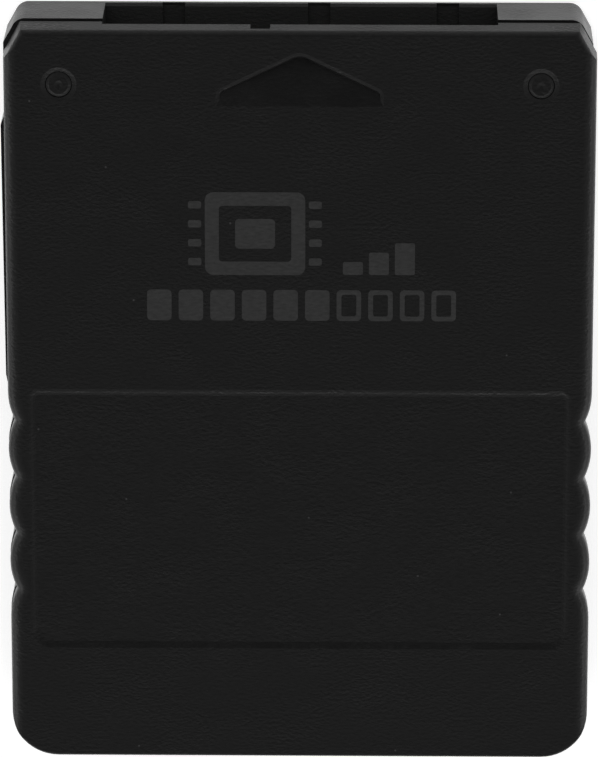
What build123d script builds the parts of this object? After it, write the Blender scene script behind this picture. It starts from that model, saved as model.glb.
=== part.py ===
"""Console memory card: two moulded shells round a small board with eight flat contacts.

The card lies on its back. +Z is up, +Y points to the connector end, and the origin
is the centre of the back face. All sizes are millimetres.
"""
import math
import os

from build123d import *

# Case outline
card_length = 54.8
card_width = 42.0
card_thickness = 8.0
nose_chamfer_x = 1.05
nose_chamfer_y = 1.9
tail_corner_radius = 3.4
tail_edge_radius = 0.2
side_edge_radius = 1.0
back_edge_bevel = 0.35

# Nose of the upper shell, set back behind the lower shell's
nose_setback = 0.12
nose_draft = 6.0
nose_edge_radius = 0.4

# Lower shell, slimmer than the upper one and seated a little to the left
lower_inset = 0.08
lower_shift = 0.15
lower_nose_radius = 1.0

# Finger grips, a row of waves on both long sides
grip_count = 4
grip_pitch = 4.27
grip_depth = 0.5
grip_valley_radius = 0.3
grip_from_tail = 12.65

# Shell walls and the seam between the shells
floor_thickness = 1.0
roof_thickness = 1.3
cover_depth = 2.05
side_wall = 1.7
nose_wall = 1.5
inner_corner_radius = 1.0
seam_groove_height = 0.4
seam_groove_depth = 0.25
skirt_thickness = 1.05
lip_clearance = 0.1
lip_roof_gap = 0.1

# Guide rails along both sides of the lower shell, lower towards the tail
rail_front_proud = 0.27
rail_rear_proud = 0.14
rail_from_nose = 7.1
rail_length = 20.0
rail_ramp = 0.7
rail_foot = 0.8

# Circuit board
board_thickness = 0.8
board_roof_gap = 0.4
board_side_gap = 0.8
board_corner_radius = 0.6
board_post_gap = 0.85
board_boss_gap = 0.5
hold_down_gap = 0.05

# Contacts on the underside of the board's tongue
contact_count = 8
contact_pitch = 3.2
contact_width = 1.9
contact_length = 4.0
contact_thickness = 0.08
contact_setback = 0.3
tongue_margin = 1.35
tongue_setback = 1.7

# Connector bay in the lower shell
bay_side_gap = 0.5
bay_depth = 7.4
bay_wall = 1.0
bay_lead_in = 0.2
keyway_positions = (-9.1, 1.3, 10.5)
keyway_width = 1.6
keyway_depth = 0.35
keyway_length = 3.0
rim_relief = 0.5
rim_notch_x = -2.8
rim_notch_width = 1.4
rim_notch_height = 0.9

# Posts of the lower shell that end in the holes of the upper shell
post_from_side = 3.95
post_from_nose = 4.24
post_column_diameter = 2.6
post_pin_diameter = 1.8
post_pin_bevel = 0.22
post_pin_bevel_depth = 0.12
post_hole_gap = 0.05
post_hole_bevel = 0.33
post_hole_bevel_depth = 0.14
post_recess = 0.04
post_dimple_diameter = 0.6
post_dimple_depth = 0.1

# Tail pins of the upper shell in bosses of the lower shell
tail_pin_from_side = 5.2
tail_pin_from_tail = 4.3
tail_pin_diameter = 2.0
tail_pin_length = 3.4
tail_pin_gap = 0.05
tail_boss_diameter = 4.2

# Two pillars with pegs that place the board, and two rests that carry its tail
pillar_from_side = 5.0
pillar_behind_bay = 3.5
pillar_diameter = 3.4
peg_diameter = 1.7
peg_gap = 0.1
peg_recess = 0.1
rest_from_board_tail = 3.3
rest_length = 4.0
rest_thickness = 1.2

# Ribs under the roof that hold the board down
rib_length = 24.0
rib_thickness = 0.8
rib_behind_pillar = 3.2
rib_ahead_of_rest = 3.2

# Arrow recess at the connector end, with a floor that rises to the face
arrow_from_nose = 2.15
arrow_half_width = 5.55
arrow_slant = 2.7
arrow_length = 3.6
arrow_depth = 0.66
arrow_apex_radius = 1.0
arrow_tip_radius = 0.3
arrow_wall_width = 0.15
arrow_wall_depth = 0.24
arrow_rim_width = 0.25
arrow_rim_depth = 0.07

# Label recess on the tail half
label_from_side = 2.0
label_from_tail = 8.86
label_length = 18.72
label_wall_width = 0.16
label_wall_depth = 0.055
label_rim_width = 0.16
label_rim_depth = 0.03
label_tail_radius = 0.96
label_nose_radius = 0.26

# Storage chip with two rows of legs
flash_length = 18.4
flash_width = 12.0
flash_height = 1.0
flash_lead_reach = 0.8
flash_lead_margin = 0.25
flash_from_board_tail = 13.5

# Controller chip with legs on four sides
controller_side = 7.0
controller_height = 1.4
controller_lead_reach = 1.0
controller_lead_margin = 0.75
controller_corner_cut = 0.5
controller_x = -2.5
controller_behind_bay = 9.5

# Details that both chips share
chip_standoff = 0.1
chip_draft = 8.0
lead_pitch = 0.5
lead_width = 0.22
lead_thickness = 0.14
lead_foot = 0.45

# Crystal beside the controller
crystal_length = 3.2
crystal_width = 2.5
crystal_height = 0.9
crystal_corner_cut = 0.2
crystal_gap = 1.9

# Small two-ended parts
chip_part_length = 1.6
chip_part_width = 0.8
capacitor_height = 0.8
resistor_height = 0.45
end_cap_length = 0.3
end_cap_proud = 0.03
resistor_count = 6
resistor_pitch = 2.6
resistor_behind_bay = 2.4
capacitor_gap = 2.2
capacitor_spread = 3.0

# Levels and places that follow from the sizes above
half_width = card_width / 2
nose_y = card_length / 2
tail_y = -card_length / 2
roof_z = card_thickness - roof_thickness
seam_z = card_thickness - cover_depth
groove_z = seam_z - seam_groove_height
rim_z = seam_z + rim_relief
label_depth = label_wall_depth + 2 * label_rim_depth
board_top_z = roof_z - board_roof_gap
board_bottom_z = board_top_z - board_thickness

tongue_width = (contact_count - 1) * contact_pitch + contact_width + 2 * tongue_margin
bay_width = tongue_width + 2 * bay_side_gap
bay_rear_y = nose_y - bay_depth - bay_wall
tongue_front_y = nose_y - tongue_setback
post_y = nose_y - post_from_nose
post_hole_diameter = post_pin_diameter + 2 * post_hole_gap
tail_pin_y = tail_y + tail_pin_from_tail
board_half_width = half_width - side_wall - board_side_gap
board_shoulder_y = post_y - post_column_diameter / 2 - board_post_gap
board_tail_y = tail_pin_y + tail_boss_diameter / 2 + board_boss_gap
pillar_x = half_width - pillar_from_side
pillar_y = bay_rear_y - pillar_behind_bay
rest_y = board_tail_y + rest_from_board_tail
flash_y = board_tail_y + flash_from_board_tail
controller_y = bay_rear_y - controller_behind_bay
flash_span = flash_length + 2 * flash_lead_reach
controller_span = controller_side + 2 * controller_lead_reach

both_sides = (-1, 1)
standing = (Align.CENTER, Align.CENTER, Align.MIN)
post_places = [(side * (half_width - post_from_side), post_y) for side in both_sides]
tail_pin_places = [(side * (half_width - tail_pin_from_side), tail_pin_y) for side in both_sides]
pillar_places = [(side * pillar_x, pillar_y) for side in both_sides]


def block(x_range, y_range, z_range):
    """Box between two limits on each axis."""
    low, high = zip(x_range, y_range, z_range)
    size = [end - start for start, end in zip(low, high)]
    return Pos(*low) * Box(*size, align=Align.MIN)


def around(centre, size):
    """Limits of a stretch with a given middle."""
    return (centre - size / 2, centre + size / 2)


def column(place, diameter, z_low, z_high):
    """Upright cylinder between two levels."""
    return Pos(*place, z_low) * Cylinder(diameter / 2, z_high - z_low, align=standing)


def side_edges(side, front_y, rear_y, inset):
    """Outline of one long side with its grips, between a front and a rear level."""
    edge_x = side * (half_width - inset)
    valley_x = edge_x - side * grip_depth
    last_valley = tail_y + grip_from_tail
    valleys = [last_valley + step * grip_pitch for step in reversed(range(grip_count))]
    grip_start = valleys[0] + grip_pitch / 2
    grip_end = valleys[-1] - grip_pitch / 2
    edges = [
        Line((edge_x, front_y), (edge_x, grip_start)),
        TangentArc((edge_x, grip_start), (valley_x, valleys[0]), tangent=(0, -1)),
    ]
    for upper, lower in zip(valleys, valleys[1:]):
        edges.append(ThreePointArc((valley_x, upper), (edge_x, (upper + lower) / 2), (valley_x, lower)))
    edges.append(TangentArc((edge_x, grip_end), (valley_x, valleys[-1]), tangent=(0, 1)))
    edges.append(Line((edge_x, grip_end), (edge_x, rear_y)))
    return edges


def side_plan(inset=0):
    """Plan of the two long sides, running on past the nose and the tail."""
    front_y = nose_y + card_thickness
    rear_y = tail_y - card_thickness
    half = half_width - inset
    edges = [Line((-half, front_y), (half, front_y)), Line((-half, rear_y), (half, rear_y))]
    for side in both_sides:
        edges += side_edges(side, front_y, rear_y, inset)
    plan = make_face(Curve() + edges)
    valley_x = half - grip_depth
    valleys = [corner for corner in plan.vertices() if abs(abs(corner.X) - valley_x) < grip_depth / 10]
    return fillet(valleys, grip_valley_radius)


def tail_plan(inset=0):
    """Plan of the tail and its round corners, running on past the sides and the nose."""
    half = half_width - inset
    radius = tail_corner_radius - inset
    end_y = tail_y + inset
    corner_y = end_y + radius
    flare_x = half + card_thickness
    front_y = nose_y + card_thickness
    edges = [
        Line((radius - half, end_y), (half - radius, end_y)),
        Line((-flare_x, front_y), (flare_x, front_y)),
    ]
    for side in both_sides:
        edges += [
            TangentArc((side * (half - radius), end_y), (side * half, corner_y), tangent=(side, 0)),
            Line((side * half, corner_y), (side * flare_x, corner_y)),
            Line((side * flare_x, corner_y), (side * flare_x, front_y)),
        ]
    return make_face(Curve() + edges)


def nose_plan(inset):
    """Plan of the nose and its chamfers, running on past the sides and the tail."""
    flare = card_thickness
    front_y = nose_y - inset
    nose_half = half_width - nose_chamfer_x - inset
    flare_x = nose_half + flare
    flare_y = front_y - flare * nose_chamfer_y / nose_chamfer_x
    end_y = tail_y - flare
    corners = [
        (nose_half, front_y),
        (-nose_half, front_y),
        (-flare_x, flare_y),
        (-flare_x, end_y),
        (flare_x, end_y),
        (flare_x, flare_y),
    ]
    return make_face(Polyline(*corners, close=True))


def lower_plan(inset=0):
    """Plan of the lower shell, with round corners at its nose."""
    nose = nose_plan(inset)
    nose = fillet(nose.vertices().sort_by(Axis.Y)[-2:], lower_nose_radius)
    return Pos(-lower_shift, 0) * (side_plan(lower_inset + inset) & tail_plan(lower_inset + inset) & nose)


def inner_plan(side_inset, nose_inset, tail_inset):
    """Plain rectangle with round corners, inset from the case's outline."""
    width = card_width - 2 * side_inset
    length = card_length - nose_inset - tail_inset
    centre_y = (tail_inset - nose_inset) / 2
    return Pos(0, centre_y) * RectangleRounded(width, length, inner_corner_radius)


def prism(plan, z_low, z_high):
    """Upright prism of a plan between two levels."""
    return extrude(Pos(0, 0, z_low) * plan, z_high - z_low)


def soft_pocket(plan, depth, slopes):
    """Pocket from the top face whose wall spreads to its rim by slopes, each a width and a depth."""
    pocket = prism(plan, card_thickness - depth, card_thickness)
    low_face = Pos(0, 0, card_thickness - sum(height for width, height in slopes)) * plan
    for width, height in slopes:
        slope = extrude(low_face, height, taper=-math.degrees(math.atan2(width, height)))
        low_face = slope.faces().sort_by(Axis.Z)[-1]
        pocket += slope
    return pocket + extrude(low_face, depth)


def rounded_cover():
    """Solid cover, softly rounded along its sides and tail, with a drafted nose."""
    sides = prism(side_plan(), seam_z, card_thickness)
    top_edges = sides.faces().sort_by(Axis.Z)[-1].edges()
    long_edges = top_edges.filter_by(lambda edge: abs(edge.center().X) > half_width / 2)
    tail = prism(tail_plan(), seam_z, card_thickness)
    tail_edges = tail.faces().sort_by(Axis.Z)[-1].edges().sort_by(Axis.Y)[:3]
    nose = extrude(Pos(0, 0, seam_z) * nose_plan(nose_setback), cover_depth, taper=nose_draft)
    nose_edges = nose.faces().sort_by(Axis.Z)[-1].edges().sort_by(Axis.Y)[-3:]
    soft_sides = fillet(long_edges, side_edge_radius)
    return soft_sides & fillet(tail_edges, tail_edge_radius) & fillet(nose_edges, nose_edge_radius)


def arrow_cut():
    """Triangle pointing to the nose, deepest at its apex and level with the face at its base."""
    apex_y = nose_y - arrow_from_nose
    tip_y = apex_y - arrow_slant
    base_y = apex_y - arrow_length
    corners = [
        (0, apex_y),
        (-arrow_half_width, tip_y),
        (-arrow_half_width, base_y),
        (arrow_half_width, base_y),
        (arrow_half_width, tip_y),
    ]
    plan = make_face(Polyline(*corners, close=True))
    plan = fillet(plan.vertices().sort_by(Axis.Y)[-1], arrow_apex_radius)
    tips = [corner for corner in plan.vertices() if abs(corner.Y - tip_y) < arrow_tip_radius / 10]
    plan = fillet(tips, arrow_tip_radius)
    slope = arrow_depth / arrow_length
    reach_y = apex_y + arrow_depth
    reach_z = card_thickness - slope * (reach_y - base_y)
    reach_top = card_thickness + arrow_depth
    side_view = [(base_y, card_thickness), (reach_y, reach_z), (reach_y, reach_top), (base_y, reach_top)]
    reach_x = arrow_half_width + arrow_depth
    above_floor = extrude(Plane.YZ * make_face(Polyline(*side_view, close=True)), reach_x, both=True)
    slopes = ((arrow_wall_width, arrow_wall_depth), (arrow_rim_width, arrow_rim_depth))
    return soft_pocket(plan, 2 * arrow_depth, slopes) & above_floor


def label_cut():
    """Shallow bare panel for a label, with a soft wall and rounder corners at the tail."""
    plan = Rectangle(card_width - 2 * label_from_side, label_length)
    plan = fillet(plan.vertices().sort_by(Axis.Y)[:2], label_tail_radius)
    plan = fillet(plan.vertices().sort_by(Axis.Y)[-2:], label_nose_radius)
    centre_y = tail_y + label_from_tail + label_length / 2
    rim = (label_rim_width, label_rim_depth)
    slopes = (rim, (label_wall_width, label_wall_depth), rim)
    return soft_pocket(Pos(0, centre_y) * plan, label_depth, slopes)


def post_hole(place):
    """Hole for a post, bevelled at the face."""
    radius = post_hole_diameter / 2
    bevel_low = card_thickness - post_hole_bevel_depth
    bevel = Cone(radius, radius + post_hole_bevel, post_hole_bevel_depth, align=standing)
    return column(place, post_hole_diameter, seam_z, card_thickness) + Pos(*place, bevel_low) * bevel


def upper_shell():
    """Cover with a short skirt, holes for the posts and the two recesses of its face."""
    shell = rounded_cover()
    shell -= prism(inner_plan(skirt_thickness, skirt_thickness, skirt_thickness), seam_z, roof_z)

    nose_band = (nose_y - skirt_thickness, nose_y)
    shell -= block(around(0, bay_width), nose_band, (seam_z, rim_z))
    shell -= block(around(rim_notch_x, rim_notch_width), nose_band, (seam_z, rim_z + rim_notch_height))

    for place in post_places:
        shell -= post_hole(place)
    shell -= arrow_cut()
    shell -= label_cut()

    rib_z = (board_top_z + hold_down_gap, roof_z)
    for rib_y in (pillar_y - rib_behind_pillar, rest_y + rib_ahead_of_rest):
        shell += block(around(0, rib_length), around(rib_y, rib_thickness), rib_z)
    for place in tail_pin_places:
        shell += column(place, tail_pin_diameter, roof_z - tail_pin_length, roof_z)
    return shell


def rail(side):
    """Slim rail with ramped ends on one long side of the lower shell."""
    start_y = nose_y - rail_from_nose
    end_y = start_y - rail_length
    root_x = half_width - lower_inset
    outline = [
        (root_x, start_y),
        (root_x + rail_front_proud, start_y - rail_ramp),
        (root_x + rail_rear_proud, end_y + rail_ramp),
        (root_x, end_y),
    ]
    corners = [(side * x - lower_shift, y) for x, y in outline[:: -side]]
    return prism(make_face(Polyline(*corners, close=True)), rail_foot, groove_z)


def connector_bay():
    """Side walls and rear wall of the bay, up to the board."""
    z_range = (0, board_bottom_z)
    outer = block(around(0, bay_width + 2 * bay_wall), (bay_rear_y, nose_y - nose_wall), z_range)
    return outer - block(around(0, bay_width), (bay_rear_y + bay_wall, nose_y), z_range)


def bay_mouth():
    """Opening in the nose wall, with its lead-in and the keyways in its floor."""
    mouth = block(around(0, bay_width), (nose_y - nose_wall, nose_y), (floor_thickness, card_thickness))
    ramp = [
        (nose_y, floor_thickness),
        (nose_y - bay_lead_in, floor_thickness),
        (nose_y, floor_thickness - bay_lead_in),
    ]
    mouth += extrude(Plane.YZ * make_face(Polyline(*ramp, close=True)), bay_width / 2, both=True)
    keyway_y = (nose_y - keyway_length, nose_y)
    for keyway_x in keyway_positions:
        mouth += block(around(keyway_x, keyway_width), keyway_y, (floor_thickness - keyway_depth, seam_z))
    return mouth


def post(place):
    """Column under the roof with a pin that fills the hole in the roof, bevelled and dimpled at its end."""
    pin_top = card_thickness - post_recess
    bevel_low = pin_top - post_pin_bevel_depth
    radius = post_pin_diameter / 2
    body = column(place, post_column_diameter, 0, roof_z)
    body += column(place, post_pin_diameter, roof_z, bevel_low)
    bevel = Cone(radius, radius - post_pin_bevel, post_pin_bevel_depth, align=standing)
    body += Pos(*place, bevel_low) * bevel
    dimple = Cone(0, post_dimple_diameter / 2, post_dimple_depth, align=standing)
    return body - Pos(*place, pin_top - post_dimple_depth) * dimple


def tail_boss(place):
    """Boss that takes a tail pin of the upper shell."""
    socket_diameter = tail_pin_diameter + 2 * tail_pin_gap
    boss = column(place, tail_boss_diameter, 0, board_bottom_z)
    return boss - column(place, socket_diameter, floor_thickness, board_bottom_z)


def pillar(place):
    """Pillar under the board with a peg through it."""
    peg_top = board_top_z - peg_recess
    return column(place, pillar_diameter, 0, board_bottom_z) + column(place, peg_diameter, 0, peg_top)


def board_rest(side):
    """Short upright rib under the tail of the board."""
    return block(around(side * pillar_x, rest_thickness), around(rest_y, rest_length), (0, board_bottom_z))


def lower_shell():
    """Tub with the connector bay, posts, bosses, pillars and rests moulded in."""
    body = prism(lower_plan(), 0, groove_z)
    body = chamfer(body.faces().sort_by(Axis.Z)[0].edges(), back_edge_bevel)
    body += prism(lower_plan(seam_groove_depth), groove_z, seam_z)
    lip_inset = skirt_thickness + lip_clearance
    body += prism(inner_plan(lip_inset, lip_inset, lip_inset), seam_z, roof_z - lip_roof_gap)
    for side in both_sides:
        body += rail(side)
    body -= prism(inner_plan(side_wall, nose_wall, side_wall), floor_thickness, card_thickness)
    body += connector_bay()
    body -= bay_mouth()
    for place in post_places:
        body += post(place)
    for place in tail_pin_places:
        body += tail_boss(place)
    for place in pillar_places:
        body += pillar(place)
    for side in both_sides:
        body += board_rest(side)
    return body


def circuit_board():
    """Board with a tongue between the posts and two holes for the pegs."""
    main_length = board_shoulder_y - board_tail_y
    main_centre = (board_shoulder_y + board_tail_y) / 2
    plan = Pos(0, main_centre) * RectangleRounded(2 * board_half_width, main_length, board_corner_radius)
    tongue_length = tongue_front_y - main_centre
    plan += Pos(0, main_centre + tongue_length / 2) * Rectangle(tongue_width, tongue_length)
    front_corners = plan.vertices().sort_by(Axis.Y)[-2:]
    plan = fillet(front_corners, board_corner_radius)
    for place in pillar_places:
        plan -= Pos(*place) * Circle(peg_diameter / 2 + peg_gap)
    return prism(plan, board_bottom_z, board_top_z)


def contact(index):
    """One flat contact under the tongue."""
    centre_x = (index - (contact_count - 1) / 2) * contact_pitch
    front_y = tongue_front_y - contact_setback
    y_range = (front_y - contact_length, front_y)
    z_range = (board_bottom_z - contact_thickness, board_bottom_z)
    return block(around(centre_x, contact_width), y_range, z_range)


def chip_body(plan, height):
    """Moulded package under a board at level zero, drafted from its middle."""
    middle = Pos(0, 0, -(chip_standoff + height / 2)) * plan
    body = extrude(middle, height / 2, dir=(0, 0, 1), taper=chip_draft)
    return body + extrude(middle, height / 2, dir=(0, 0, -1), taper=chip_draft)


def controller_plan():
    """Square with the corner of its first leg cut off."""
    plan = Rectangle(controller_side, controller_side)
    first_corner = plan.vertices().sort_by(Axis.X)[:2].sort_by(Axis.Y)[-1]
    return chamfer(first_corner, controller_corner_cut)


def lead_row(body_length, body_width, height, reach, margin):
    """Row of bent legs on the +X end of a package, with feet on the board at level zero."""
    count = 1 + round((body_width - 2 * margin) / lead_pitch)
    middle = -(chip_standoff + height / 2)
    root = body_length / 2
    tip = root + reach
    heel = tip - lead_foot
    knee = (root + heel) / 2
    half = lead_thickness / 2
    profile = [
        (root, middle + half),
        (knee - half, middle + half),
        (heel - half, 0),
        (tip, 0),
        (tip, -lead_thickness),
        (heel + half, -lead_thickness),
        (knee + half, middle - half),
        (root, middle - half),
    ]
    lead = extrude(Plane.XZ * make_face(Polyline(*profile, close=True)), lead_width / 2, both=True)
    return [Pos(0, (step - (count - 1) / 2) * lead_pitch) * lead for step in range(count)]


def two_ended_part(height):
    """Small part with proud end caps, along Y, that hangs under a board at level zero."""
    body = block(around(0, chip_part_width), around(0, chip_part_length - 2 * end_cap_length), (-height, 0))
    cap_x = around(0, chip_part_width + 2 * end_cap_proud)
    for side in both_sides:
        cap_y = around(side * (chip_part_length - end_cap_length) / 2, end_cap_length)
        body += block(cap_x, cap_y, (-height - end_cap_proud, 0))
    return body


def crystal():
    """Small metal can."""
    can = block(around(0, crystal_length), around(0, crystal_width), (-crystal_height, 0))
    return chamfer(can.edges().filter_by(Axis.Z), crystal_corner_cut)


def flash_leads():
    """Two rows of legs of the storage chip."""
    row = lead_row(flash_length, flash_width, flash_height, flash_lead_reach, flash_lead_margin)
    return Compound([Rot(0, 0, turn) * lead for turn in (0, 180) for lead in row])


def controller_leads():
    """Four rows of legs of the controller."""
    side = controller_side
    row = lead_row(side, side, controller_height, controller_lead_reach, controller_lead_margin)
    return Compound([Rot(0, 0, turn) * lead for turn in (0, 90, 180, 270) for lead in row])


def capacitor_places():
    """Two capacitors left of the controller and two at each end of the storage chip."""
    left_of_controller = controller_x - controller_span / 2 - capacitor_gap
    end_of_flash = flash_span / 2 + capacitor_gap
    columns = [(left_of_controller, controller_y), (-end_of_flash, flash_y), (end_of_flash, flash_y)]
    return [(x, y + shift * capacitor_spread / 2) for x, y in columns for shift in both_sides]


def all_nodes():
    """Every piece of the card by name, in its place."""
    flash_place = Pos(0, flash_y, board_bottom_z)
    controller_place = Pos(controller_x, controller_y, board_bottom_z)
    crystal_x = controller_x + controller_span / 2 + crystal_gap + crystal_length / 2
    nodes = {
        "upper_shell": upper_shell(),
        "lower_shell": lower_shell(),
        "circuit_board": circuit_board(),
        "flash_memory_body": flash_place * chip_body(Rectangle(flash_length, flash_width), flash_height),
        "flash_memory_leads": flash_place * flash_leads(),
        "controller_body": controller_place * chip_body(controller_plan(), controller_height),
        "controller_leads": controller_place * controller_leads(),
        "crystal": Pos(crystal_x, controller_y, board_bottom_z) * crystal(),
    }
    for index in range(contact_count):
        nodes[f"contact_{index + 1}"] = contact(index)
    for number, (x, y) in enumerate(capacitor_places(), 1):
        nodes[f"capacitor_{number}"] = Pos(x, y, board_bottom_z) * two_ended_part(capacitor_height)
    for index in range(resistor_count):
        x = (index - (resistor_count - 1) / 2) * resistor_pitch
        y = bay_rear_y - resistor_behind_bay
        nodes[f"resistor_{index + 1}"] = Pos(x, y, board_bottom_z) * two_ended_part(resistor_height)
    return nodes


os.makedirs("parts", exist_ok=True)
for name, shape in all_nodes().items():
    export_step(shape, f"parts/{name}.step")
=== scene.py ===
"""Looks of the console memory card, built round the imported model.

Lengths are written in millimetres and turned into metres by MM.
+Y is the connector end and +Z is the face with the arrow.
"""
import math

import bmesh
import bpy
from mathutils import Matrix, Vector


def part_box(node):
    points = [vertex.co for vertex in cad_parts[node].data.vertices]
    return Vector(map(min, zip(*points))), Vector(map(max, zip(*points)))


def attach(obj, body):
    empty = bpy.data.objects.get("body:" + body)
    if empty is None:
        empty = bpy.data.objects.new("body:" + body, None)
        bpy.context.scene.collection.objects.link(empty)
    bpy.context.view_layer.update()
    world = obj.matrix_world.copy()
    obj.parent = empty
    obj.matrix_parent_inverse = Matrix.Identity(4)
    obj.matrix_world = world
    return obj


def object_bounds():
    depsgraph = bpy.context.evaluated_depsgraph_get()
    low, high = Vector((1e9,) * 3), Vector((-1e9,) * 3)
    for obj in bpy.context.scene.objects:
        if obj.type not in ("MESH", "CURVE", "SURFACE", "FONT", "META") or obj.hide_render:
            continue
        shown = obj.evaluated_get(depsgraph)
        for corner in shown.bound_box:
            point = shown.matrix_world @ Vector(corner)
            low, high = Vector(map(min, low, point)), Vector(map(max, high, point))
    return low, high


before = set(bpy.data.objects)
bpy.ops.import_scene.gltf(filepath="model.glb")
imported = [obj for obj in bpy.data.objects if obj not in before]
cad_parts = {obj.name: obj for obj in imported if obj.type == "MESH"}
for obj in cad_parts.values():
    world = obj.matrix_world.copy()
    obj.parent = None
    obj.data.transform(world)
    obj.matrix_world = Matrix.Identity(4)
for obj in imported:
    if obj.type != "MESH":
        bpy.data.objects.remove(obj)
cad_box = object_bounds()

MM = 0.001

# Camera that the photograph was taken with
IMAGE_LONG_SIDE = 757
FOCAL_LENGTH_PIXELS = 5914.4
SENSOR_SIZE = 36.0
CAMERA_PLACE = Vector((5.17, 126.88, 412.89)) * MM
CAMERA_TARGET = Vector((-0.008, 1.533, 8.0)) * MM
CAMERA_ROLL = math.radians(0.026)

# Studio in metres, dim overhead and bright all round, with a lamp that gloss doesn't show
FLOOR_SIZE = 6.0
FLOOR_COLOUR = 0.6
FLOOR_GLOW = 0.58
SKY_AXIS = (0.0, 0.191, 0.982)
SKY_LEVELS = (
    (0.5, 3.3),
    (0.6, 2.0),
    (0.7, 0.92),
    (0.8, 0.78),
    (0.88, 0.69),
    (0.945, 0.48),
    (0.975, 0.22),
    (1.0, 0.02),
)
LAMP_PLACE = Vector((0.0, 0.9, 1.1))
LAMP_SIZE = 1.4
LAMP_POWER = 8.0

# Band that most values of a noise lie in
NOISE_BAND = (0.3, 0.7)

# Broad patches in the finish of all plastics
PATCH_STRETCH = (0.25, 0.25, 0.25)
PATCH_DETAIL = 2.0

# Black plastic of the shells
SHELL_LEVEL = 0.0056
SHELL_LEVEL_SPREAD = 0.15
SHELL_GLOSS = 0.14
SHELL_ROUGHNESS = 0.3
SHELL_ROUGHNESS_SPREAD = 0.03
GRAIN_STRETCH = (3.0, 5.0, 5.0)
GRAIN_DETAIL = 2.0
GRAIN_DEPTH = 0.05
GRAIN_PATCH_BAND = (0.35, 0.65)
GRAIN_PATCH_SHARE = (0.4, 1.2)

# Nose of the card, coarser over the seam
NOSE_START = (26.6, 27.0)
NOSE_SEAM = (5.8, 6.0)
NOSE_ROUGHNESS = (0.07, 0.17)

# Painted light in the connector bay: its colour is paler than the outside to stand in for light that
# reaches inside
BAY_PAINTED_LIGHT_LEVEL = 0.013
BAY_MIDDLE = (0.0, 23.0, 3.2)
BAY_REACH = (14.3, 4.2, 3.2)

# Paler speckled spots at the two corners of the nose
CORNER_SPOT_LEVEL = 0.06
CORNER_SPOT_STRETCH = (4.0, 6.0, 6.0)
CORNER_SPOT_DETAIL = 3.0
CORNER_SPOT_BAND = (0.52, 0.66)
CORNER_SPOT_SIDE = (14.8, 19.0)
CORNER_SPOT_FOOT = (6.2, 6.6)
CORNER_SPOT_TOP = (7.3, 7.6)

# Specks of dust, at most one in each cell of a loose grid
DUST_LEVEL = 0.03
DUST_SPACING = 7.0
DUST_RADIUS = 0.09
DUST_CORE = 0.5
DUST_SHARE = 0.35

# Finer grain of the chips and the print
FINE_STRETCH = (2.2, 5.5, 5.5)
FINE_DETAIL = 3.0
FINE_LEVEL_SPREAD = 0.2
FINE_ROUGHNESS_SPREAD = 0.04

# Plated metal
LINE_STRETCH = (9.0, 0.8, 9.0)
LINE_DETAIL = 2.0
LINE_SHADE = 0.85
LINE_ROUGHNESS = 0.12

# Varnish and copper tracks of the board
TRACK_STRETCH = (0.4, 0.4, 0.4)
TRACK_WIDTH = 0.06
TRACK_DEPTH = 0.02
TRACK_COLOUR = (0.02, 0.17, 0.075)
VARNISH_COLOURS = ((0.012, 0.09, 0.038), (0.014, 0.105, 0.045))
VARNISH_ROUGHNESS = 0.28

# Ceramic parts with tinned ends, which start at a share of the length from the middle
END_START = (0.308, 0.316)
END_COLOUR = (0.62, 0.62, 0.61)
SPECKLE_STRETCH = (12.0, 12.0, 12.0)
SPECKLE_DETAIL = 2.0
SPECKLE_SHADE = 0.8
CERAMIC_ROUGHNESS = (0.3, 0.45)

# Film of ink on the face
INK_HEIGHT = 0.015 * MM
INK_SUNK = 0.005 * MM
CORNER_STEPS = 5
SMALL_RADIUS = 0.15

# Printed chip
CHIP_X = (-6.75, 0.4)
CHIP_Y = (9.24, 15.36)
CHIP_RADIUS = 0.6
CHIP_WALL = 1.0
CHIP_HOLE_RADIUS = 0.25
CORE_X = (-4.6, -1.75)
CORE_Y = (11.2, 13.4)
CORE_RADIUS = 0.3
LEG_COUNT = 4
LEG_PITCH = 1.4
LEG_Y = (9.95, 10.5)
LEG_LEFT_X = (-7.95, -7.0)
LEG_RIGHT_X = (0.65, 1.58)

# Printed bars, each taller than the one before
BAR_COUNT = 3
BAR_PITCH = 1.85
BAR_X = (3.08, 4.51)
BAR_Y = (9.28, 10.24)
BAR_RISE = 0.7

# Printed row of storage cells
CELL_COUNT = 10
CELL_FULL_COUNT = 6
CELL_ROW_X = (-10.9, 11.16)
CELL_Y = (5.85, 8.15)
CELL_GAP = 0.5
CELL_WALL = 0.35
CELL_RADIUS = 0.3


def node_maker(tree):
    """Function that adds a node to a tree, with its settings and the links into it."""

    def node(kind, links=(), **settings):
        made = tree.nodes.new(kind)
        for key, value in settings.items():
            if key in made.inputs:
                made.inputs[key].default_value = value
            else:
                setattr(made, key, value)
        for source, socket in links:
            tree.links.new(source, made.inputs[socket])
        return made

    return node


def new_material(name):
    """Node material with a Principled shader, a maker of further nodes and a linker to the shader."""
    material = bpy.data.materials.new(name)
    material.use_nodes = True
    tree = material.node_tree
    shader = tree.nodes["Principled BSDF"]

    def link(source, socket):
        tree.links.new(source, shader.inputs[socket])

    return material, shader, node_maker(tree), link


def even(factor):
    """Same stretch along each axis."""
    return (factor, factor, factor)


def grey(level):
    """Neutral colour."""
    return (level, level, level)


def scaled(colour, factor):
    """Colour made darker or paler."""
    return tuple(factor * part for part in colour)


def opaque(colour):
    """Colour with the fourth number that sockets ask for."""
    return (*colour, 1.0)


def coordinates(node, stretch):
    """Place on the object in millimetres, stretched along each axis."""
    place = node("ShaderNodeTexCoord").outputs["Object"]
    scale = [factor / MM for factor in stretch]
    return node("ShaderNodeMapping", [(place, "Vector")], Scale=scale).outputs["Vector"]


def noise(node, stretch, detail):
    """Cloudy number between zero and one."""
    place = coordinates(node, stretch)
    return node("ShaderNodeTexNoise", [(place, "Vector")], Scale=1.0, Detail=detail).outputs["Fac"]


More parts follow.
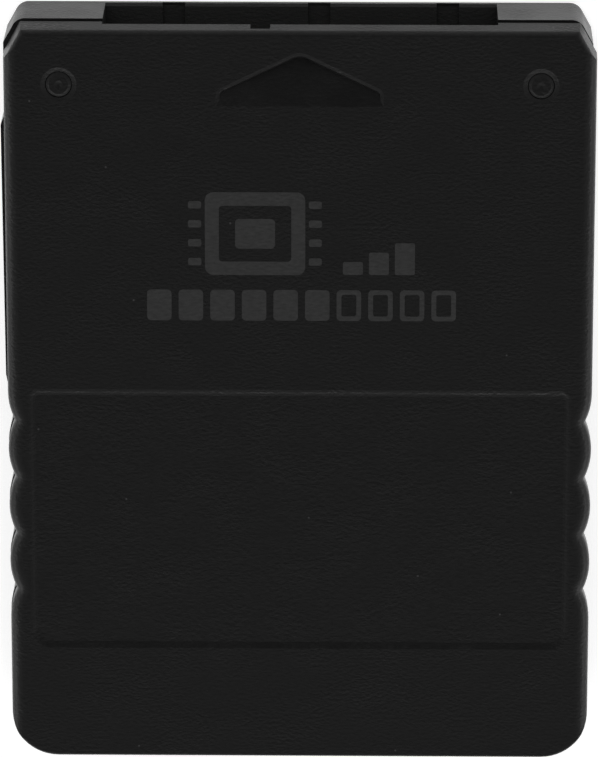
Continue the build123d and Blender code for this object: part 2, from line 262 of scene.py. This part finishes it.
def ramp(node, source, low, high, low_value, high_value):
    """Number that runs between two values as its source runs between two others."""
    made = node("ShaderNodeMapRange", [(source, "Value")])
    sockets = ("From Min", "From Max", "To Min", "To Max")
    for socket, value in zip(sockets, (low, high, low_value, high_value)):
        made.inputs[socket].default_value = value
    return made.outputs["Result"]


def shade(node, source, low_colour, high_colour):
    """Colour that runs between two others as a noise runs through its band."""
    made = node("ShaderNodeValToRGB", [(source, "Fac")])
    for element, place, colour in zip(made.color_ramp.elements, NOISE_BAND, (low_colour, high_colour)):
        element.position = place
        element.color = opaque(colour)
    return made.outputs["Color"]


def mixed(node, factor, base, colour):
    """Base colour where the factor is zero and another colour where it is one."""
    made = node("ShaderNodeMix", [(factor, 0), (base, 6)], data_type="RGBA")
    made.inputs[7].default_value = opaque(colour)
    return made.outputs[2]


def joined(node, operation, first, second):
    """Two numbers put together by a sum, a maximum or the like."""
    return node("ShaderNodeMath", [(first, 0), (second, 1)], operation=operation).outputs[0]


def product(node, *factors):
    """Several numbers multiplied together."""
    result = factors[0]
    for factor in factors[1:]:
        result = joined(node, "MULTIPLY", result, factor)
    return result


def size_of(node, source):
    """Number without its sign."""
    return node("ShaderNodeMath", [(source, 0)], operation="ABSOLUTE").outputs[0]


def within(node, source, middle, reach):
    """One where a number lies within reach of a middle, zero elsewhere."""
    made = node("ShaderNodeMath", [(source, 0)], operation="COMPARE")
    made.inputs[1].default_value = middle
    made.inputs[2].default_value = reach
    return made.outputs[0]


def add_bump(node, link, height, depth):
    """Relief of a depth in millimetres where a number is high."""
    bump = node("ShaderNodeBump", [(height, "Height")], Strength=1.0, Distance=depth * MM)
    link(bump.outputs["Normal"], "Normal")


def bay_painted_light_mask(node, place):
    """One in the connector bay, where light is painted in as a paler colour, zero elsewhere."""
    sides = [within(node, *side) for side in zip(place, BAY_MIDDLE, BAY_REACH)]
    return product(node, *sides)


def corner_spot_mask(node, x, z, on_nose):
    """Up to one on the paler speckled spots at the corners of the nose, zero elsewhere."""
    at_side = ramp(node, size_of(node, x), *CORNER_SPOT_SIDE, 0.0, 1.0)
    over_foot = ramp(node, z, *CORNER_SPOT_FOOT, 0.0, 1.0)
    under_top = ramp(node, z, *CORNER_SPOT_TOP, 1.0, 0.0)
    spots = ramp(node, noise(node, CORNER_SPOT_STRETCH, CORNER_SPOT_DETAIL), *CORNER_SPOT_BAND, 0.0, 1.0)
    return product(node, on_nose, at_side, over_foot, under_top, spots)


def dust_mask(node):
    """One on a few small specks, zero elsewhere."""
    place = coordinates(node, even(1 / DUST_SPACING))
    cells = node("ShaderNodeTexVoronoi", [(place, "Vector")], voronoi_dimensions="2D", Scale=1.0)
    radius = DUST_RADIUS / DUST_SPACING
    speck = ramp(node, cells.outputs["Distance"], DUST_CORE * radius, radius, 1.0, 0.0)
    chance = node("ShaderNodeSeparateColor", [(cells.outputs["Color"], "Color")]).outputs[0]
    return product(node, speck, within(node, chance, 0.0, DUST_SHARE))


def shell_plastic(name):
    """Plastic of the shells: painted light as a paler colour in the bay, coarser on the nose, with
    paler speckled spots at its corners, and dusty.
    """
    material, shader, node, link = new_material(name)
    shader.inputs["Specular IOR Level"].default_value = SHELL_GLOSS
    x, y, z = node("ShaderNodeSeparateXYZ", [(coordinates(node, even(1.0)), "Vector")]).outputs
    grain = noise(node, GRAIN_STRETCH, GRAIN_DETAIL)
    patch = noise(node, PATCH_STRETCH, PATCH_DETAIL)
    on_nose = ramp(node, y, *NOSE_START, 0.0, 1.0)

    darker = grey((1 - SHELL_LEVEL_SPREAD) * SHELL_LEVEL)
    paler = grey((1 + SHELL_LEVEL_SPREAD) * SHELL_LEVEL)
    colour = shade(node, grain, darker, paler)
    # Painted light: a paler colour in the connector bay stands in for light reaching inside it
    colour = mixed(node, bay_painted_light_mask(node, (x, y, z)), colour, grey(BAY_PAINTED_LIGHT_LEVEL))
    colour = mixed(node, corner_spot_mask(node, x, z, on_nose), colour, grey(CORNER_SPOT_LEVEL))
    colour = mixed(node, dust_mask(node), colour, grey(DUST_LEVEL))
    link(colour, "Base Color")

    smoother = SHELL_ROUGHNESS - SHELL_ROUGHNESS_SPREAD
    rougher = SHELL_ROUGHNESS + SHELL_ROUGHNESS_SPREAD
    coarse = ramp(node, patch, *NOISE_BAND, smoother, rougher)
    nose_coarse = product(node, on_nose, ramp(node, z, *NOSE_SEAM, *NOSE_ROUGHNESS))
    link(joined(node, "ADD", coarse, nose_coarse), "Roughness")
    height = product(node, grain, ramp(node, patch, *GRAIN_PATCH_BAND, *GRAIN_PATCH_SHARE))
    add_bump(node, link, height, GRAIN_DEPTH)
    return material


def textured_plastic(name, level, grain_depth, roughness, gloss):
    """Dark plastic with a fine grain that runs across the card."""
    material, shader, node, link = new_material(name)
    shader.inputs["Specular IOR Level"].default_value = gloss
    grain = noise(node, FINE_STRETCH, FINE_DETAIL)
    patch = noise(node, PATCH_STRETCH, PATCH_DETAIL)
    darker = grey((1 - FINE_LEVEL_SPREAD) * level)
    paler = grey((1 + FINE_LEVEL_SPREAD) * level)
    link(shade(node, grain, darker, paler), "Base Color")
    smoother = roughness - FINE_ROUGHNESS_SPREAD
    rougher = roughness + FINE_ROUGHNESS_SPREAD
    link(ramp(node, patch, *NOISE_BAND, smoother, rougher), "Roughness")
    add_bump(node, link, grain, grain_depth)
    return material


def metal(name, colour, roughness, scratch_depth):
    """Plated metal with faint lengthwise lines."""
    material, shader, node, link = new_material(name)
    shader.inputs["Metallic"].default_value = 1.0
    lines = noise(node, LINE_STRETCH, LINE_DETAIL)
    link(shade(node, lines, scaled(colour, LINE_SHADE), colour), "Base Color")
    link(ramp(node, lines, *NOISE_BAND, roughness, roughness + LINE_ROUGHNESS), "Roughness")
    add_bump(node, link, lines, scratch_depth)
    return material


def solder_mask(name):
    """Green varnish over copper tracks that run in steps across the board."""
    material, shader, node, link = new_material(name)
    shader.inputs["Roughness"].default_value = VARNISH_ROUGHNESS
    tracks = node("ShaderNodeTexBrick", [(coordinates(node, TRACK_STRETCH), "Vector")], Scale=1.0)
    tracks.inputs["Mortar Size"].default_value = TRACK_WIDTH
    tracks.inputs["Color1"].default_value = opaque(VARNISH_COLOURS[0])
    tracks.inputs["Color2"].default_value = opaque(VARNISH_COLOURS[1])
    tracks.inputs["Mortar"].default_value = opaque(TRACK_COLOUR)
    link(tracks.outputs["Color"], "Base Color")
    add_bump(node, link, tracks.outputs["Fac"], TRACK_DEPTH)
    return material


def two_ended(name, body_colour):
    """Ceramic body with tinned ends, told apart along the length of each piece."""
    material, shader, node, link = new_material(name)
    share = node("ShaderNodeTexCoord").outputs["Generated"]
    along = node("ShaderNodeSeparateXYZ", [(share, "Vector")]).outputs["Y"]
    from_middle = size_of(node, ramp(node, along, 0.0, 1.0, -0.5, 0.5))
    is_end = ramp(node, from_middle, *END_START, 0.0, 1.0)
    speckle = noise(node, SPECKLE_STRETCH, SPECKLE_DETAIL)
    body = shade(node, speckle, scaled(body_colour, SPECKLE_SHADE), body_colour)
    link(mixed(node, is_end, body, END_COLOUR), "Base Color")
    link(is_end, "Metallic")
    link(ramp(node, speckle, *NOISE_BAND, *CERAMIC_ROUGHNESS), "Roughness")
    return material


def dress(nodes, material):
    """One material on every listed node of the frame."""
    for name in nodes:
        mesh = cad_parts[name].data
        mesh.materials.clear()
        mesh.materials.append(material)


def nodes_named(stem):
    """Names of the numbered nodes of one kind."""
    return [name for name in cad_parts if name.startswith(stem + "_")]


def dress_frame():
    """Finish of every piece of the frame."""
    dress(["upper_shell", "lower_shell"], shell_plastic("shell_plastic"))
    dress(["circuit_board"], solder_mask("solder_mask"))
    gold = metal("contact_gold", colour=(0.83, 0.58, 0.2), roughness=0.22, scratch_depth=0.004)
    dress(nodes_named("contact"), gold)
    epoxy = textured_plastic("chip_epoxy", level=0.018, grain_depth=0.006, roughness=0.6, gloss=0.4)
    dress(["flash_memory_body", "controller_body"], epoxy)
    tin = metal("tinned_lead", colour=(0.66, 0.66, 0.65), roughness=0.3, scratch_depth=0.002)
    dress(["flash_memory_leads", "controller_leads"], tin)
    can = metal("crystal_can", colour=(0.7, 0.69, 0.66), roughness=0.33, scratch_depth=0.003)
    dress(["crystal"], can)
    dress(nodes_named("capacitor"), two_ended("capacitor_ceramic", body_colour=(0.36, 0.23, 0.12)))
    dress(nodes_named("resistor"), two_ended("resistor_ceramic", body_colour=(0.02, 0.02, 0.024)))


def moved(span, distance):
    """Span shifted along its axis."""
    return (span[0] + distance, span[1] + distance)


def inset(span, wall):
    """Span made shorter by a wall at each end."""
    return (span[0] + wall, span[1] - wall)


def rounded_outline(x_range, y_range, radius):
    """Counter-clockwise points of a rectangle with round corners, in millimetres."""
    (left, right), (low, high) = inset(x_range, radius), inset(y_range, radius)
    centres = [(right, high), (left, high), (left, low), (right, low)]
    points = []
    for quarter, (x, y) in enumerate(centres):
        for step in range(CORNER_STEPS + 1):
            angle = (quarter + step / CORNER_STEPS) * math.pi / 2
            points.append((x + radius * math.cos(angle), y + radius * math.sin(angle)))
    return points


def add_loop(mesh, outline, level):
    """Points of an outline at a level in metres."""
    return [mesh.verts.new((x * MM, y * MM, level)) for x, y in outline]


def add_plate(mesh, outline, low, high):
    """Closed flat plate of an outline between two levels in metres."""
    bottom = add_loop(mesh, outline, low)
    top = add_loop(mesh, outline, high)
    mesh.faces.new(reversed(bottom))
    mesh.faces.new(top)
    count = len(outline)
    for index in range(count):
        after = (index + 1) % count
        mesh.faces.new((bottom[index], bottom[after], top[after], top[index]))


def add_ring(mesh, outer, inner, low, high):
    """Closed flat frame between two outlines with as many points each."""
    outer_low = add_loop(mesh, outer, low)
    outer_high = add_loop(mesh, outer, high)
    inner_low = add_loop(mesh, inner, low)
    inner_high = add_loop(mesh, inner, high)
    count = len(outer)
    for index in range(count):
        after = (index + 1) % count
        mesh.faces.new((outer_low[index], outer_low[after], outer_high[after], outer_high[index]))
        mesh.faces.new((inner_low[after], inner_low[index], inner_high[index], inner_high[after]))
        mesh.faces.new((outer_high[index], outer_high[after], inner_high[after], inner_high[index]))
        mesh.faces.new((outer_low[after], outer_low[index], inner_low[index], inner_low[after]))


def finish_piece(name, mesh, material):
    """Object of a bmesh, riding on the card."""
    data = bpy.data.meshes.new(name)
    mesh.to_mesh(data)
    mesh.free()
    data.materials.append(material)
    piece = bpy.data.objects.new(name, data)
    bpy.context.scene.collection.objects.link(piece)
    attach(piece, "root")
    return piece


def print_chip(mesh, low, high):
    """Outline of a chip with a core and legs on two sides."""
    outer = rounded_outline(CHIP_X, CHIP_Y, CHIP_RADIUS)
    inner = rounded_outline(inset(CHIP_X, CHIP_WALL), inset(CHIP_Y, CHIP_WALL), CHIP_HOLE_RADIUS)
    add_ring(mesh, outer, inner, low, high)
    add_plate(mesh, rounded_outline(CORE_X, CORE_Y, CORE_RADIUS), low, high)
    for leg in range(LEG_COUNT):
        leg_y = moved(LEG_Y, leg * LEG_PITCH)
        add_plate(mesh, rounded_outline(LEG_LEFT_X, leg_y, SMALL_RADIUS), low, high)
        add_plate(mesh, rounded_outline(LEG_RIGHT_X, leg_y, SMALL_RADIUS), low, high)


def print_bars(mesh, low, high):
    """Bars that rise to the right."""
    for bar in range(BAR_COUNT):
        bar_x = moved(BAR_X, bar * BAR_PITCH)
        bar_y = (BAR_Y[0], BAR_Y[1] + bar * BAR_RISE)
        add_plate(mesh, rounded_outline(bar_x, bar_y, SMALL_RADIUS), low, high)


def print_cells(mesh, low, high):
    """Row of storage cells, the first ones full and the others open."""
    pitch = (CELL_ROW_X[1] - CELL_ROW_X[0] + CELL_GAP) / CELL_COUNT
    first_x = (CELL_ROW_X[0], CELL_ROW_X[0] + pitch - CELL_GAP)
    for cell in range(CELL_COUNT):
        cell_x = moved(first_x, cell * pitch)
        outer = rounded_outline(cell_x, CELL_Y, CELL_RADIUS)
        if cell < CELL_FULL_COUNT:
            add_plate(mesh, outer, low, high)
        else:
            inner = rounded_outline(inset(cell_x, CELL_WALL), inset(CELL_Y, CELL_WALL), SMALL_RADIUS)
            add_ring(mesh, outer, inner, low, high)


def add_print():
    """Grey print in the middle of the face: a chip, three rising bars and a row of storage cells."""
    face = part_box("upper_shell")[1].z
    low, high = face - INK_SUNK, face + INK_HEIGHT
    mesh = bmesh.new()
    print_chip(mesh, low, high)
    print_bars(mesh, low, high)
    print_cells(mesh, low, high)
    ink = textured_plastic("print_ink", level=0.022, grain_depth=0.015, roughness=0.35, gloss=0.14)
    return finish_piece("face_print", mesh, ink)


def add_floor():
    """Pale floor that shows white and still keeps a soft shadow."""
    bpy.ops.mesh.primitive_plane_add(size=FLOOR_SIZE, location=(0, 0, cad_box[0].z))
    floor = bpy.context.object
    floor.name = "floor"
    material = bpy.data.materials.new("floor_white")
    material.use_nodes = True
    material.node_tree.nodes.clear()
    node = node_maker(material.node_tree)
    ray = node("ShaderNodeLightPath").outputs
    seen = joined(node, "MAXIMUM", ray["Is Camera Ray"], ray["Is Glossy Ray"])
    seen = joined(node, "MAXIMUM", seen, ray["Is Transmission Ray"])
    strength = ramp(node, seen, 0.0, 1.0, 0.0, FLOOR_GLOW)
    glow = node("ShaderNodeEmission", [(strength, "Strength")]).outputs[0]
    diffuse = node("ShaderNodeBsdfDiffuse", Color=opaque(grey(FLOOR_COLOUR))).outputs[0]
    both = node("ShaderNodeAddShader", [(diffuse, 0), (glow, 1)]).outputs[0]
    node("ShaderNodeOutputMaterial", [(both, "Surface")])
    floor.data.materials.append(material)


def add_world():
    """Soft light from all round, brightest near the horizon and dimmest about an axis overhead."""
    world = bpy.data.worlds.new("studio")
    bpy.context.scene.world = world
    world.use_nodes = True
    tree = world.node_tree
    node = node_maker(tree)
    place = node("ShaderNodeTexCoord").outputs["Generated"]
    along = node("ShaderNodeVectorMath", [(place, 0)], operation="DOT_PRODUCT")
    along.inputs[1].default_value = SKY_AXIS
    share = ramp(node, along.outputs["Value"], -1.0, 1.0, 0.0, 1.0)
    levels = node("ShaderNodeValToRGB", [(share, "Fac")])
    elements = levels.color_ramp.elements
    made_count = len(elements)
    for stop, (position, level) in enumerate(SKY_LEVELS):
        element = elements[stop] if stop < made_count else elements.new(position)
        element.position = position
        element.color = opaque(grey(level))
    tree.links.new(levels.outputs["Color"], tree.nodes["Background"].inputs["Color"])


def add_lamp():
    """Wide lamp overhead that brings plain colours to their level and leaves no glare."""
    data = bpy.data.lights.new("overhead_lamp", "AREA")
    data.size = LAMP_SIZE
    data.energy = LAMP_POWER
    lamp = bpy.data.objects.new("overhead_lamp", data)
    lamp.location = LAMP_PLACE
    lamp.rotation_euler = LAMP_PLACE.to_track_quat("Z", "Y").to_euler()
    lamp.visible_glossy = False
    bpy.context.scene.collection.objects.link(lamp)


def add_camera():
    """Camera at the photograph's viewing angle."""
    data = bpy.data.cameras.new("photo_camera")
    data.sensor_width = SENSOR_SIZE
    data.lens = FOCAL_LENGTH_PIXELS * SENSOR_SIZE / IMAGE_LONG_SIDE
    camera = bpy.data.objects.new("photo_camera", data)
    bpy.context.scene.collection.objects.link(camera)
    forward = (CAMERA_TARGET - CAMERA_PLACE).normalized()
    level_right = forward.cross(Vector((0, 1, 0))).normalized()
    level_up = level_right.cross(forward)
    right = level_right * math.cos(CAMERA_ROLL) + level_up * math.sin(CAMERA_ROLL)
    up = level_up * math.cos(CAMERA_ROLL) - level_right * math.sin(CAMERA_ROLL)
    turn = Matrix((right, up, -forward)).transposed().to_4x4()
    camera.matrix_world = Matrix.Translation(CAMERA_PLACE) @ turn
    bpy.context.scene.camera = camera


bpy.context.scene.view_settings.view_transform = "Standard"
add_camera()
add_world()
add_lamp()
add_floor()
dress_frame()
add_print()
